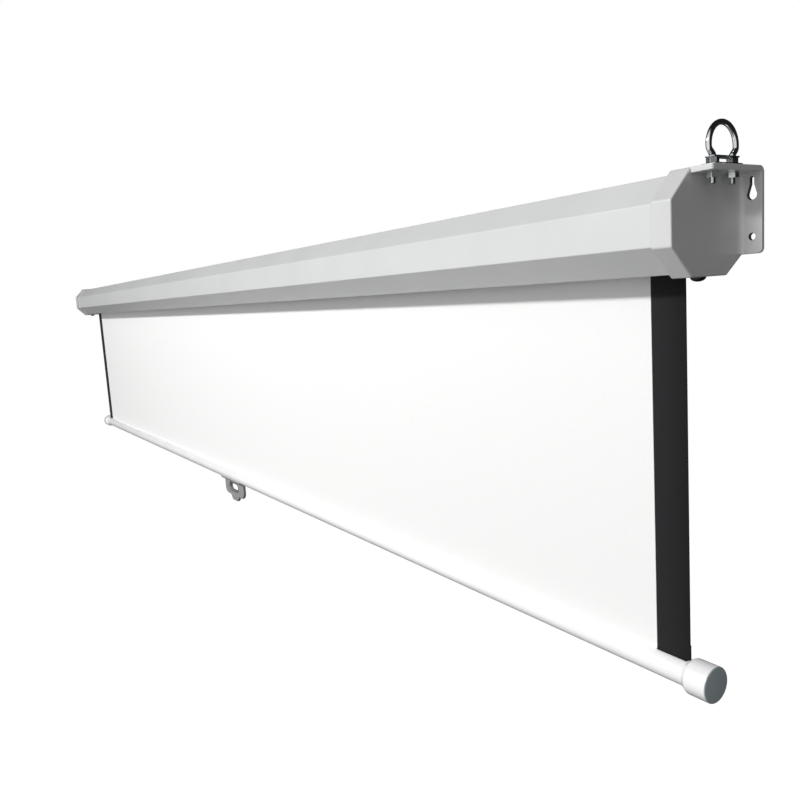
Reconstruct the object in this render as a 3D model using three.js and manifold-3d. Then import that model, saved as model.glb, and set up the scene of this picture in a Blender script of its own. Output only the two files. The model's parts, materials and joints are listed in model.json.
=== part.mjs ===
// A pull down projector screen with a spring roller in an eight-sided case.
// Millimetres. X runs along the case, Y towards the wall, Z up.
// The origin is on the wall, at the middle of the length and the height of the roller's axis.
import * as THREE from "three";
import { mergeVertices } from "three/addons/utils/BufferGeometryUtils.js";
import Module from "manifold-3d";

const wasm = await Module();
wasm.setup();

// Running and seating clearance, the reach of a cut past its face, and the weld of shared corners
const gap = 0.3;
const overrun = 1;
const weld = 1e-4;

// Screen fabric
const viewWidth = 2032;
const viewHeight = 1524;
const sideBorder = 34;
const spareWrap = 60;
const fabricThick = 0.45;

// End brackets, and the case that their sleeves hold
const endInset = 30;
const bracketHeight = 80;
const frontFlat = 34;
const bottomFlat = 43;
const rearChamferRun = 20;
const rearChamferRise = 15;
const plateThick = 4;
const sleeveWall = 2.7;
const sleeveLength = 18;
const sleeveCorner = 2.5;
const topFlangeThick = 4.5;
const wallFlangeThick = 3.5;
const flangeReach = 18;
const flangeCorner = 4;
const flangeBend = 5;
const flangeFillet = 5;
const caseWall = 1.2;
const slotWidth = 10;
const slotHem = 6;

// Holes in the wall flange
const keyholeRadius = 3.9;
const keyholeSlot = 3.2;
const keyholeRise = 13.4;
const keyholeShoulder = 7.8;
const keyholeHeight = 19.4;
const keyholeOut = 10;
const pinHoleRadius = 2.7;
const pinHoleHeight = -12;

// Hanging loop and its hardware
const loopFromFront = 47.6;
const rodRadius = 2.5;
const loopRadius = 15.9;
const loopTop = 73.2;
const loopSweep = 196;
const legSpacing = 23.6;
const studEnd = 26.6;
const nutAcrossFlats = 8;
const topNutHeight = 3.7;
const lowNutHeight = 4;
const strapThick = 1;
const strapWidth = 9;
const strapOverhang = 3.8;
const basePlateThick = 1;
const basePlateLength = 34;
const basePlateWidth = 12;

// Domed screw under each bracket
const screwFromFront = 43;
const screwHeadRadius = 5.8;
const screwHeadHeight = 3.2;
const screwRadius = 2;
const screwLength = 7;

// Roller and its spring motor
const rollerFromFront = 35;
const tubeRadius = 17;
const tubeWall = 1;
const tubeOverhang = 2;
const plugLength = 22;
const plugFlange = 2.4;
const bossRadius = 12;
const bossLength = 9;
const socketDepth = 8;
const spindleRadius = 4;
const spindleLength = 480;
const tongueWidth = 9;
const tongueThick = 3;
const ratchetRadius = 7.5;
const ratchetWidth = 3.6;
const notchDepth = 2.2;
const notchWidth = 4;
const pawlReach = 10;
const pawlOffset = 8;
const pawlThick = 3;
const pawlEye = 2.6;
const pawlPin = 1.5;
const pawlPinDepth = 5;
const springRadius = 8;
const springWire = 1.5;
const springTurns = 12;
const springEnd = 20;
const collarLength = 12;
const anchorLength = 16;
const idlePinRadius = 3;
const bushRadius = 6;
const bushLength = 7.4;

// Bottom bar, drawn as far down as the photograph shows it
const barDrop = 376.6;
const barRadius = 11.6;
const barWall = 1.5;
const barSlot = 3;
const barEndInset = 5.2;
const capRadius = 15.8;
const capLength = 26.4;
const capTaper = 11;
const capLip = 1;
const capFace = 3;
const capRound = 1.4;
const capSlitDepth = 3.1;
const splineRadius = 2.6;

// Pull handle at the middle of the bar
const handleWidth = 96;
const handleDepth = 31;
const handleThick = 6;
const handleCorner = 13;
const saddleWall = 2.4;
const saddleHeight = 5;
const tabDrop = 10;
const tabTopWidth = 44;
const tabWidth = 24;
const tabCorner = 5;
const fingerWidth = 44;
const fingerHeight = 14;
const fingerBelow = 13;
const rimWidth = 3;
const rimProud = 0.5;
const handleScrewInset = 12.5;
const handleScrewRadius = 1.2;
const handleScrewHead = 2.3;
const handleScrewHeadHeight = 1.4;
const handleScrewDepth = 5;

// Fineness of round shapes
const fine = 48;
const medium = 32;
const coarse = 16;
const hexagon = 6;
const arcSteps = 3;
const bowSteps = 10;
const loopSteps = 40;
const loopSides = 8;
const springSteps = 8;
const springSides = 5;

// Sizes that follow
const fabricWidth = viewWidth + 2 * sideBorder;
const plateOuter = fabricWidth / 2 + endInset;
const plateInner = plateOuter - plateThick;
const flangeEnd = plateOuter + flangeReach;
const frontChamfer = (bracketHeight - frontFlat) / 2;
const bracketDepth = frontChamfer + bottomFlat + rearChamferRun;
const front = -bracketDepth;
const top = bracketHeight / 2;
const flangeFoot = rearChamferRise - top;
const axisY = front + rollerFromFront;
const barZ = -barDrop;
const spline = barRadius - barWall - splineRadius - gap;
const fabricEnd = barZ + spline + splineRadius + gap;
const woundLength = viewHeight + spareWrap + fabricEnd;
const rollRadius = Math.sqrt(tubeRadius ** 2 + (woundLength * fabricThick) / Math.PI);
const fabricY = axisY + rollRadius + gap + fabricThick / 2;
const tubeEnd = fabricWidth / 2 + tubeOverhang;
const headFace = tubeEnd + gap + plugFlange;
const bossFace = plateInner - bossLength;
const barEnd = plateOuter - barEndInset;
const handleScrewOut = handleWidth / 2 - handleScrewInset;

// Colours
const paint = { color: "#e6e7e8", roughness: 0.42, metalness: 0.05 };
const bracketPaint = { color: "#d2d4d4", roughness: 0.45, metalness: 0.05 };
const chrome = { color: "#d8dade", roughness: 0.12, metalness: 1 };
const zinc = { color: "#b9bcbf", roughness: 0.35, metalness: 0.9 };
const blackSteel = { color: "#23272a", roughness: 0.4, metalness: 0.6 };
const steel = { color: "#9fa3a6", roughness: 0.4, metalness: 0.9 };
const springSteel = { color: "#6f7478", roughness: 0.35, metalness: 0.9 };
const whiteCloth = { color: "#f4f4f3", roughness: 0.9, metalness: 0 };
const barPaint = { color: "#f2f3f4", roughness: 0.35, metalness: 0.05 };
const whitePlastic = { color: "#eceded", roughness: 0.35, metalness: 0 };
const greyPlastic = { color: "#a9acad", roughness: 0.45, metalness: 0 };
const darkPlastic = { color: "#3a3d40", roughness: 0.55, metalness: 0 };
const ivoryPlastic = { color: "#ddd9cc", roughness: 0.5, metalness: 0 };

// A closed geometry as a solid that can be joined and cut, with its faces turned outwards
function solid(geometry) {
  const bare = geometry.clone();
  for (const name of ["normal", "uv"]) bare.deleteAttribute(name);
  const merged = mergeVertices(bare, weld);
  const corners = merged.attributes.position.array;
  const faces = new Uint32Array(merged.index.array);
  const make = () => {
    return new wasm.Manifold(new wasm.Mesh({ numProp: 3, vertProperties: corners, triVerts: faces }));
  };
  const body = make();
  if (body.volume() > 0) return body;
  faces.reverse();
  return make();
}

// A solid back as a geometry with flat faces
function geometryOf(body) {
  const mesh = body.getMesh();
  const geometry = new THREE.BufferGeometry();
  geometry.setAttribute("position", new THREE.BufferAttribute(mesh.vertProperties, mesh.numProp));
  geometry.setIndex(new THREE.BufferAttribute(mesh.triVerts, 1));
  const flat = geometry.toNonIndexed();
  flat.computeVertexNormals();
  return flat;
}

const join = (...bodies) => bodies.reduce((whole, body) => whole.add(body));
const cut = (body, ...tools) => tools.reduce((left, tool) => left.subtract(tool), body);

// A closed outline through corners [u, v, radius], where a radius rounds its corner with an arc
function outline(corners, into = new THREE.Shape()) {
  corners.forEach(([u, v, radius = 0], i) => {
    const here = new THREE.Vector2(u, v);
    const [before, after] = [corners.at(i - 1), corners[(i + 1) % corners.length]]
      .map(([a, b]) => new THREE.Vector2(a, b).sub(here).normalize());
    const half = Math.acos(before.dot(after)) / 2;
    const reach = radius / Math.tan(half);
    const start = here.clone().addScaledVector(before, reach);
    if (i === 0) into.moveTo(start.x, start.y);
    else into.lineTo(start.x, start.y);
    if (radius === 0) return;
    const middle = before.clone().add(after).normalize().multiplyScalar(radius / Math.sin(half)).add(here);
    const end = here.clone().addScaledVector(after, reach);
    const [from, to] = [start, end].map((point) => point.clone().sub(middle).angle());
    into.absarc(middle.x, middle.y, radius, from, to, before.cross(after) > 0);
  });
  into.closePath();
  return into;
}

// Corners moved inwards by a distance, for corners that run anticlockwise
function inset(corners, distance) {
  const outward = ([a, b], [c, d]) => new THREE.Vector2(d - b, a - c).normalize();
  return corners.map((corner, i) => {
    const one = outward(corners.at(i - 1), corner);
    const two = outward(corner, corners[(i + 1) % corners.length]);
    const shift = one.clone().add(two).multiplyScalar(distance / (1 + one.dot(two)));
    return [corner[0] - shift.x, corner[1] - shift.y];
  });
}

const rounded = (corners, radius) => corners.map(([u, v]) => [u, v, radius]);
const box = (u0, u1, v0, v1, radius = 0) => rounded([[u0, v0], [u1, v0], [u1, v1], [u0, v1]], radius);
const centred = (u, v, width, height, radius = 0) => {
  return box(u - width / 2, u + width / 2, v - height / 2, v + height / 2, radius);
};

// Points round a circle, for a round shape or a round hole in one
function circle(u, v, radius, steps = coarse) {
  return Array.from({ length: steps }, (_, i) => {
    const angle = (2 * Math.PI * i) / steps;
    return new THREE.Vector2(u + radius * Math.cos(angle), v + radius * Math.sin(angle));
  });
}

// A shape carried along X, Y or Z; the shape is drawn in the other two axes
function carried(shape, from, to, across, up, along) {
  const size = { depth: Math.abs(to - from), bevelEnabled: false, curveSegments: arcSteps };
  const geometry = new THREE.ExtrudeGeometry(shape, size);
  geometry.applyMatrix4(new THREE.Matrix4().makeBasis(across, up, along));
  return geometry;
}

const unitX = new THREE.Vector3(1, 0, 0);
const unitY = new THREE.Vector3(0, 1, 0);
const unitZ = new THREE.Vector3(0, 0, 1);

function alongX(shape, from, to) {
  return solid(carried(shape, from, to, unitY, unitZ, unitX).translate(Math.min(from, to), 0, 0));
}

function alongY(shape, from, to) {
  const geometry = carried(shape, from, to, unitX, unitZ, unitY.clone().negate());
  return solid(geometry.translate(0, Math.max(from, to), 0));
}

function alongZ(shape, from, to) {
  return solid(carried(shape, from, to, unitX, unitY, unitZ).translate(0, 0, Math.min(from, to)));
}

// A closed profile of [radius, place] turned about the X axis, or about the Z axis
function turnedX(profile, steps, y, z = 0) {
  const points = profile.map(([radius, place]) => new THREE.Vector2(radius, place));
  return solid(new THREE.LatheGeometry(points, steps).rotateZ(-Math.PI / 2).translate(0, y, z));
}

function turnedZ(profile, steps, x, y) {
  const points = profile.map(([radius, place]) => new THREE.Vector2(radius, place));
  return solid(new THREE.LatheGeometry(points, steps).rotateX(Math.PI / 2).translate(x, y, 0));
}

const rodProfile = (radius, from, to) => [[0, from], [radius, from], [radius, to], [0, to]];
const ringProfile = (inner, outer, from, to) => {
  return [[inner, from], [outer, from], [outer, to], [inner, to], [inner, from]];
};

// A round rod or a round tube along X, on the roller's axis unless told otherwise
const rodX = (radius, from, to, y = axisY, z = 0) => turnedX(rodProfile(radius, from, to), coarse, y, z);
const tubeX = (inner, outer, from, to, steps = medium) => {
  return turnedX(ringProfile(inner, outer, from, to), steps, axisY);
};

// A quarter arc of [radius, place] points that rounds a turned edge
function roundEdge(radius, place, size) {
  return Array.from({ length: arcSteps + 1 }, (_, i) => {
    const angle = (i / arcSteps) * (Math.PI / 2);
    return [radius - size + size * Math.cos(angle), place + size * Math.sin(angle)];
  });
}

const part = new THREE.Group();
const right = new THREE.Group();
const left = new THREE.Group();
left.scale.x = -1;
part.add(right, left);

// Names a piece and adds it to the part, or to the mirrored group of the left end
function add(name, body, look, group = part) {
  const material = new THREE.MeshStandardMaterial({ ...look, flatShading: true });
  const mesh = new THREE.Mesh(geometryOf(body), material);
  mesh.name = name;
  group.add(mesh);
}

// The eight corners of the sleeve, anticlockwise from the bottom front one
const sleeveCorners = [
  [front + frontChamfer, -top], [-rearChamferRun, -top], [0, flangeFoot], [0, -flangeFoot],
  [-rearChamferRun, top], [front + frontChamfer, top], [front, frontFlat / 2], [front, -frontFlat / 2],
];
const caseCorners = inset(sleeveCorners, sleeveWall + gap);
const caseInside = inset(caseCorners, caseWall);

// Case: one folded sheet, open along the bottom where the fabric leaves, with a hem on both lips
function caseShell() {
  const bottom = caseCorners[0][1];
  const corner = sleeveCorner - sleeveWall / 2;
  const [slotFront, slotRear] = [fabricY - slotWidth / 2, fabricY + slotWidth / 2];
  const lip = (edge, side) => [
    [edge, bottom], [edge, bottom + slotHem], [edge + side * caseWall, bottom + slotHem],
    [edge + side * caseWall, bottom + caseWall],
  ];
  const section = outline([
    ...rounded(caseCorners.slice(1), corner), ...rounded(caseCorners.slice(0, 1), corner),
    ...lip(slotFront, -1), ...caseInside.slice(0, 1), ...caseInside.slice(1).reverse(),
    ...lip(slotRear, 1).reverse(),
  ]);
  const end = plateInner - gap;
  return cut(alongX(section, -end, end), screwHole(1), screwHole(-1));
}

// The clear hole of a bracket's domed screw, at the right end for side 1 and the left end for side -1
function screwHole(side) {
  const depth = sleeveWall + 2 * gap + caseWall;
  const x = side * (plateOuter - sleeveLength / 2);
  const profile = rodProfile(screwRadius + gap, -top - overrun, -top + depth + overrun);
  return turnedZ(profile, coarse, x, front + screwFromFront);
}

// End bracket: plate, sleeve round the case, top flange, wall flange and the boss that holds the roller
function bracket(socket) {
  const plateOutline = [
    ...sleeveCorners.slice(0, 3).map(([y, z]) => [y, z, sleeveCorner]), [0, top, flangeBend],
    ...sleeveCorners.slice(5).map(([y, z]) => [y, z, sleeveCorner]),
  ];
  plateOutline[2][2] = 0;
  const hollow = outline(rounded(inset(sleeveCorners, sleeveWall), sleeveCorner / 2), new THREE.Path());
  const sleeveShape = outline(rounded(sleeveCorners, sleeveCorner));
  sleeveShape.holes.push(hollow);
  const plate = alongX(outline(plateOutline), plateInner, plateOuter);
  const sleeve = alongX(sleeveShape, plateOuter - sleeveLength, plateInner + overrun);
  const frontEdge = front + frontChamfer;
  const flangeStart = plateOuter - overrun;
  const topShape = outline([
    [flangeStart, frontEdge], [flangeEnd, frontEdge, flangeCorner / 2], [flangeEnd, 0], [flangeStart, 0],
  ]);
  const wallShape = outline([
    [flangeStart, flangeFoot], [flangeEnd, flangeFoot, flangeCorner], [flangeEnd, top], [flangeStart, top],
  ]);
  const flanges = join(alongZ(topShape, top - topFlangeThick, top), alongY(wallShape, -wallFlangeThick, 0));
  const bend = outline([[front, flangeFoot], [0, flangeFoot], [0, top, flangeBend], [front, top]]);
  const bentFlanges = flanges.intersect(alongX(bend, flangeStart, flangeEnd));
  const boss = turnedX(rodProfile(bossRadius, bossFace, plateInner + overrun), medium, axisY);
  return cut(
    join(plate, sleeve, bentFlanges, wallFillet(), boss),
    socket, keyhole(), pinHole(), screwHole(1), ...loopHoles(),
  );
}

// The hollow corner between the plate and the wall flange
function wallFillet() {
  const [x, y] = [plateOuter, -wallFlangeThick];
  const shape = new THREE.Shape();
  shape.moveTo(x - overrun, y + overrun);
  shape.lineTo(x - overrun, y - flangeFillet);
  shape.lineTo(x, y - flangeFillet);
  shape.absarc(x + flangeFillet, y - flangeFillet, flangeFillet, Math.PI, Math.PI / 2, true);
  shape.lineTo(x + flangeFillet, y + overrun);
  return alongZ(shape, flangeFoot, top - topFlangeThick / 2);
}

// Keyhole: a round hole whose sides close in, along its tangents, to a narrow neck above it
function keyhole() {
  const x = plateOuter + keyholeOut;
  const half = keyholeSlot / 2;
  const touch = Math.atan2(keyholeShoulder, half) - Math.acos(keyholeRadius / Math.hypot(half, keyholeShoulder));
  const [side, rise] = [keyholeRadius * Math.cos(touch), keyholeRadius * Math.sin(touch)];
  const shoulders = outline([
    [x - side, keyholeHeight + rise], [x + side, keyholeHeight + rise],
    [x + half, keyholeHeight + keyholeShoulder], [x - half, keyholeHeight + keyholeShoulder],
  ]);
  const hole = new THREE.Shape(circle(x, keyholeHeight, keyholeRadius));
  const round = alongY(hole, -bracketDepth / 4, overrun);
  const [low, high] = [keyholeHeight, keyholeHeight + keyholeRise];
  const slot = outline([
    [x - half, low], [x + half, low],
    [x + half, high, keyholeSlot / 3], [x - half, high, keyholeSlot / 3],
  ]);
  return join(round, ...[shoulders, slot].map((shape) => alongY(shape, -bracketDepth / 4, overrun)));
}

function pinHole() {
  const shape = new THREE.Shape(circle(plateOuter + keyholeOut, pinHoleHeight, pinHoleRadius));
  return alongY(shape, -bracketDepth / 4, overrun);
}

// Places of the hanging loop's two legs
const loopX = plateOuter + flangeReach / 2;
const loopY = front + loopFromFront;
const legPlaces = [loopY - legSpacing / 2, loopY + legSpacing / 2];

function loopHoles() {
  const [low, high] = [top - topFlangeThick - overrun, top + overrun];
  return legPlaces.map((y) => turnedZ(rodProfile(rodRadius + gap, low, high), coarse, loopX, y));
}

// Hanging loop: a threaded rod bent to a ring whose legs turn in above the strap
function hangingLoop() {
  const centre = loopTop - rodRadius - loopRadius;
  const sweep = THREE.MathUtils.degToRad(loopSweep);
  const legZ = [studEnd, (studEnd + strapTop) / 2, strapFoot, strapTop, strapTop + 2 * gap];
  const leg = legZ.map((z) => [loopY + legSpacing / 2, z]);
  const bow = Array.from({ length: bowSteps + 1 }, (_, i) => {
    const angle = (Math.PI - sweep) / 2 + (sweep * i) / bowSteps;
    return [loopY + loopRadius * Math.cos(angle), centre + loopRadius * Math.sin(angle)];
  });
  const points = [...leg, ...bow, ...leg.reverse().map(([y, z]) => [2 * loopY - y, z])];
  const knots = points.map(([y, z]) => new THREE.Vector3(loopX, y, z));
  const path = new THREE.CatmullRomCurve3(knots, false, "centripetal");
  const rod = new THREE.Shape(circle(0, 0, rodRadius, loopSides));
  return solid(new THREE.ExtrudeGeometry(rod, { steps: loopSteps, extrudePath: path }));
}

// Length of the strap, and the heights of the loop's stack on the top flange
const strapLength = legSpacing + 2 * strapOverhang;
const plateTop = top + gap + basePlateThick;
const topNutFoot = plateTop + gap;
const strapFoot = topNutFoot + topNutHeight + gap;
const strapTop = strapFoot + strapThick;
const lowNutTop = top - topFlangeThick - gap;

// A flat strip with holes for both legs
function legPlate(length, width, from, to) {
  const shape = outline(centred(loopX, loopY, width, length, flangeCorner / 2));
  legPlaces.forEach((y) => shape.holes.push(new THREE.Path(circle(loopX, y, rodRadius + gap))));
  return alongZ(shape, from, to);
}

function nut(y, from, height) {
  const radius = nutAcrossFlats / Math.sqrt(3);
  const shape = new THREE.Shape(circle(loopX, y, radius, hexagon));
  shape.holes.push(new THREE.Path(circle(loopX, y, rodRadius + gap)));
  return alongZ(shape, from, from + height);
}

// Domed screw that ties the sleeve to the case
function domedScrew() {
  const under = -top - gap;
  const dome = Array.from({ length: arcSteps + 1 }, (_, i) => {
    const angle = (i / arcSteps) * (Math.PI / 2);
    return [screwHeadRadius * Math.sin(angle), under - screwHeadHeight * Math.cos(angle)];
  });
  const shank = [[screwRadius, under], [screwRadius, under + screwLength], [0, under + screwLength]];
  return turnedZ([...dome, ...shank], coarse, plateOuter - sleeveLength / 2, front + screwFromFront);
}

// Socket of the right bracket, for the spindle's flat tongue, and of the left one, for the bush
const tongueSocket = alongX(
  outline(centred(axisY, 0, tongueThick + 2 * gap, tongueWidth + 2 * gap)),
  bossFace - overrun, bossFace + socketDepth + gap,
);
const bushSocket = rodX(bushRadius + gap, bossFace - overrun, bossFace + socketDepth);

// Spindle: a round rod that ends in the tongue
function spindle() {
  const round = rodX(spindleRadius, headFace - spindleLength, bossFace - gap);
  const flat = outline(centred(axisY, 0, tongueThick, tongueWidth));
  const tongue = alongX(flat, bossFace - overrun, bossFace + socketDepth);
  return round.add(tongue);
}

// Ratchet: a disc on the spindle with a notch at the top and one at the bottom
const ratchetStart = headFace + gap;
function ratchet() {
  const ratchetEnd = ratchetStart + ratchetWidth;
  const disc = tubeX(spindleRadius + gap, ratchetRadius, ratchetStart, ratchetEnd);
  const notch = (turn) => alongX(
    outline(centred(axisY, turn * ratchetRadius, notchWidth, 2 * notchDepth)),
    ratchetStart - overrun, ratchetEnd + overrun,
  );
  return cut(disc, notch(1), notch(-1));
}

// Pawl: an eye on its pin, an arm and a nose that falls into a notch
// Turn is 1 for the pawl above the axis and -1 for the one below it
function pawl(turn) {
  const place = ([y, z]) => [axisY + turn * y, turn * z];
  const noseWidth = notchWidth / 2;
  const arm = outline([
    [pawlReach, pawlOffset + pawlEye], [-noseWidth / 2, pawlOffset + pawlEye], [-noseWidth / 2, pawlOffset],
    [noseWidth / 2, pawlOffset], [noseWidth, pawlOffset + pawlPin], [pawlReach, pawlOffset - pawlEye],
  ].map(place));
  const [eyeY, eyeZ] = place([pawlReach, pawlOffset]);
  const [from, to] = [ratchetStart + gap, ratchetStart + gap + pawlThick];
  const eye = rodX(pawlEye, from, to, eyeY, eyeZ);
  const pin = rodX(pawlPin, headFace - pawlPinDepth, from + overrun, eyeY, eyeZ);
  return join(alongX(arm, from, to), eye, pin);
}

// Plug in a tube end, with its flange outside the tube and a bore right through
function plug(bore) {
  const [inner, face] = [tubeRadius - tubeWall - gap, tubeEnd + gap];
  return turnedX([
    [bore, tubeEnd - plugLength], [inner, tubeEnd - plugLength], [inner, face], [tubeRadius, face],
    [tubeRadius, headFace], [bore, headFace], [bore, tubeEnd - plugLength],
  ], medium, axisY);
}

function lockingHead() {
  const holes = [1, -1].map((turn) => {
    const [from, to] = [headFace - pawlPinDepth - gap, headFace + overrun];
    return rodX(pawlPin + gap, from, to, axisY + turn * pawlReach, turn * pawlOffset);
  });
  return cut(plug(spindleRadius + gap), ...holes);
}

// Spring: a helix round the spindle between the collar and the anchor plug
const springFrom = headFace - spindleLength + springEnd;
const springTo = tubeEnd - plugLength - springEnd;
function torsionSpring() {
  const stepCount = springTurns * springSteps;
  const [positions, faces] = [[], []];
  for (let i = 0; i <= stepCount; i++) {
    const turn = (2 * Math.PI * i) / springSteps;
    const x = springFrom + ((springTo - springFrom) * i) / stepCount;
    for (let k = 0; k < springSides; k++) {
      const side = (2 * Math.PI * k) / springSides;
      const radius = springRadius + springWire * Math.cos(side);
      const [y, z] = [axisY + radius * Math.cos(turn), radius * Math.sin(turn)];
      positions.push(x + springWire * Math.sin(side), y, z);
      if (i === stepCount) continue;
      const [a, b] = [i * springSides + k, i * springSides + ((k + 1) % springSides)];
      faces.push(a, b, a + springSides, b, b + springSides, a + springSides);
    }
  }
  const last = stepCount * springSides;
  for (let k = 1; k < springSides - 1; k++) faces.push(0, k + 1, k, last, last + k, last + k + 1);
  const geometry = new THREE.BufferGeometry();
  geometry.setAttribute("position", new THREE.Float32BufferAttribute(positions, 3));
  geometry.setIndex(faces);
  return solid(geometry);
}

// A hub that the spring's end turns sit on: the collar on the spindle, or the anchor plug in the tube
function springHub(from, to, [flangeRadius, flangeFrom, flangeTo]) {
  const [bore, hub] = [spindleRadius + gap, springRadius - springWire - gap];
  return join(tubeX(bore, hub, from, to, coarse), tubeX(bore, flangeRadius, flangeFrom, flangeTo));
}

// Bottom bar: a tube with a groove along its top for the fabric's hem
function barTube() {
  const inner = barRadius - barWall;
  const [wide, narrow] = [Math.asin(barSlot / 2 / barRadius), Math.asin(barSlot / 2 / inner)];
  const start = Math.PI / 2;
  const shape = new THREE.Shape();
  shape.absarc(fabricY, barZ, barRadius, start + wide, start - wide + 2 * Math.PI, false);
  shape.absarc(fabricY, barZ, inner, start - narrow + 2 * Math.PI, start + narrow, true);
  const end = barEnd - capFace - gap;
  const size = { depth: 2 * end, bevelEnabled: false, curveSegments: medium / 2 };
  const geometry = new THREE.ExtrudeGeometry(shape, size);
  geometry.applyMatrix4(new THREE.Matrix4().makeBasis(unitY, unitZ, unitX)).translate(-end, 0, 0);
  const holes = [1, -1].map((side) => {
    const profile = rodProfile(handleScrewRadius + gap, barZ - barRadius - overrun, barZ);
    return turnedZ(profile, coarse, side * handleScrewOut, fabricY);
  });
  return cut(solid(geometry), ...holes);
}

// Round cap over a bar end, slit along its top where the fabric's edge runs into it
function barCap() {
  const bore = barRadius + gap;
  const start = barEnd - capLength;
  const profile = [
    [bore, start], [bore + capLip, start], [capRadius, start + capTaper],
    ...roundEdge(capRadius, barEnd - capRound, capRound), [0, barEnd],
    [0, barEnd - capFace], [bore, barEnd - capFace], [bore, start],
  ];
  const slit = outline(box(fabricY - barSlot / 2, fabricY + barSlot / 2, barZ, barZ + capRadius + overrun));
  const cap = turnedX(profile, fine, fabricY, barZ);
  return cut(cap, alongX(slit, start - overrun, start + capSlitDepth));
}

// Pull handle: a saddle under the bar and a plate with a finger slot and a tab
function pullHandle() {
  const half = handleWidth / 2;
  const under = barZ - barRadius - gap;
  const plateTopZ = under - saddleWall / 2;
  const foot = under - handleDepth;
  const rightHalf = [
    [half, plateTopZ], [half, foot, handleCorner],
    [tabTopWidth / 2, foot], [tabWidth / 2, foot - tabDrop, tabCorner],
  ];
  const leftHalf = rightHalf.map(([x, z, radius]) => [-x, z, radius]);
  const shape = outline([...leftHalf, ...rightHalf.reverse()]);
  const slotZ = under - fingerBelow;
  const fingerBox = (grow) => {
    const [width, height] = [fingerWidth + 2 * grow, fingerHeight + 2 * grow];
    return centred(0, slotZ, width, height, height / 2 - weld);
  };
  const plateY = [fabricY - handleThick / 2, fabricY + handleThick / 2];
  const plate = alongY(shape, ...plateY);
  const rim = alongY(outline(fingerBox(rimWidth)), plateY[0] - rimProud, plateY[1] + rimProud);
  const saddleBore = barRadius + gap;
  const ring = turnedX(ringProfile(saddleBore, saddleBore + saddleWall, -half, half), medium, fabricY, barZ);
  const above = outline(box(fabricY - capRadius, fabricY + capRadius, barZ - barRadius + saddleHeight, barZ + capRadius));
  const saddle = cut(ring, alongX(above, -half - overrun, half + overrun));
  const holes = [1, -1].map((side) => {
    const profile = rodProfile(handleScrewRadius + gap, foot, barZ);
    const pocket = rodProfile(handleScrewHead + gap, foot - overrun, screwSeat);
    const x = side * handleScrewOut;
    return join(turnedZ(profile, coarse, x, fabricY), turnedZ(pocket, coarse, x, fabricY));
  });
  const finger = alongY(outline(fingerBox(0)), plateY[0] - capRadius, plateY[1] + capRadius);
  return cut(join(plate, rim, saddle), finger, ...holes);
}

// Height of the seat that the handle's screw heads pull on
const screwSeat = barZ - barRadius - gap - handleScrewDepth;

function handleScrew(side) {
  const head = screwSeat - gap;
  const tip = barZ - barRadius + barWall + overrun;
  const profile = [
    [0, head - handleScrewHeadHeight], [handleScrewHead, head - handleScrewHeadHeight],
    [handleScrewHead, head], [handleScrewRadius, head], [handleScrewRadius, tip], [0, tip],
  ];
  return turnedZ(profile, coarse, side * handleScrewOut, fabricY);
}

// Case and brackets
add("case_shell", caseShell(), paint);
add("bracket_right", bracket(tongueSocket), bracketPaint, right);
add("bracket_left", bracket(bushSocket), bracketPaint, left);

// Hanging loop with its plates and nuts, fitted at the right end alone
add("hanging_loop_right", hangingLoop(), chrome, right);
add("loop_base_plate_right", legPlate(basePlateLength, basePlateWidth, top + gap, plateTop), zinc, right);
add("loop_strap_right", legPlate(strapLength, strapWidth, strapFoot, strapTop), zinc, right);
legPlaces.forEach((y, i) => {
  const place = ["front", "rear"][i];
  add(`top_nut_${place}_right`, nut(y, topNutFoot, topNutHeight), zinc, right);
  add(`low_nut_${place}_right`, nut(y, lowNutTop - lowNutHeight, lowNutHeight), zinc, right);
});
add("case_screw_right", domedScrew(), blackSteel, right);
add("case_screw_left", domedScrew(), blackSteel, left);

// Spring motor, fixed to the right bracket
const collarTo = tubeEnd - plugLength - gap;
const collarFrom = collarTo - springEnd - collarLength;
const anchorFrom = springFrom - springWire - gap - anchorLength / 4;
const collarFlange = [springRadius + springWire, collarTo - collarLength / 2, collarTo];
add("spindle", spindle(), steel);
add("ratchet", ratchet(), steel);
add("spring_collar", springHub(collarFrom, collarTo, collarFlange), steel);
add("torsion_spring", torsionSpring(), springSteel);

// Roller, which turns with the fabric wound on it
const plugRadius = tubeRadius - tubeWall - gap;
const anchorFlange = [plugRadius, anchorFrom - collarLength / 2, anchorFrom];
add("roller_tube", tubeX(tubeRadius - tubeWall, tubeRadius, -tubeEnd, tubeEnd, fine), steel);
add("fabric_roll", tubeX(tubeRadius + gap, rollRadius, -fabricWidth / 2, fabricWidth / 2, fine), whiteCloth);
add("locking_head", lockingHead(), darkPlastic);
add("spring_anchor", springHub(anchorFrom, anchorFrom + anchorLength, anchorFlange), darkPlastic);
add("pawl_upper", pawl(1), steel);
add("pawl_lower", pawl(-1), steel);
add("idle_plug", plug(idlePinRadius + gap), darkPlastic, left);
add("idle_pin", rodX(idlePinRadius, tubeEnd - plugLength, bossFace + bushLength), steel, left);
add("idle_bush", tubeX(idlePinRadius + gap, bushRadius, bossFace, bossFace + bushLength), ivoryPlastic, left);

// Hanging fabric, bottom bar and handle
const sheet = outline(box(fabricY - fabricThick / 2, fabricY + fabricThick / 2, fabricEnd, 0));
const hemRod = rodX(splineRadius, -fabricWidth / 2, fabricWidth / 2, fabricY, barZ + spline);
add("screen_fabric", alongX(sheet, -fabricWidth / 2, fabricWidth / 2), whiteCloth);
add("bar_tube", barTube(), barPaint);
add("hem_spline", hemRod, ivoryPlastic);
add("bar_cap_right", barCap(), whitePlastic, right);
add("bar_cap_left", barCap(), whitePlastic, left);
add("pull_handle", pullHandle(), greyPlastic);
add("handle_screw_right", handleScrew(1), zinc);
add("handle_screw_left", handleScrew(-1), zinc);

export default part;
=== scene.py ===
import json
import math

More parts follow.
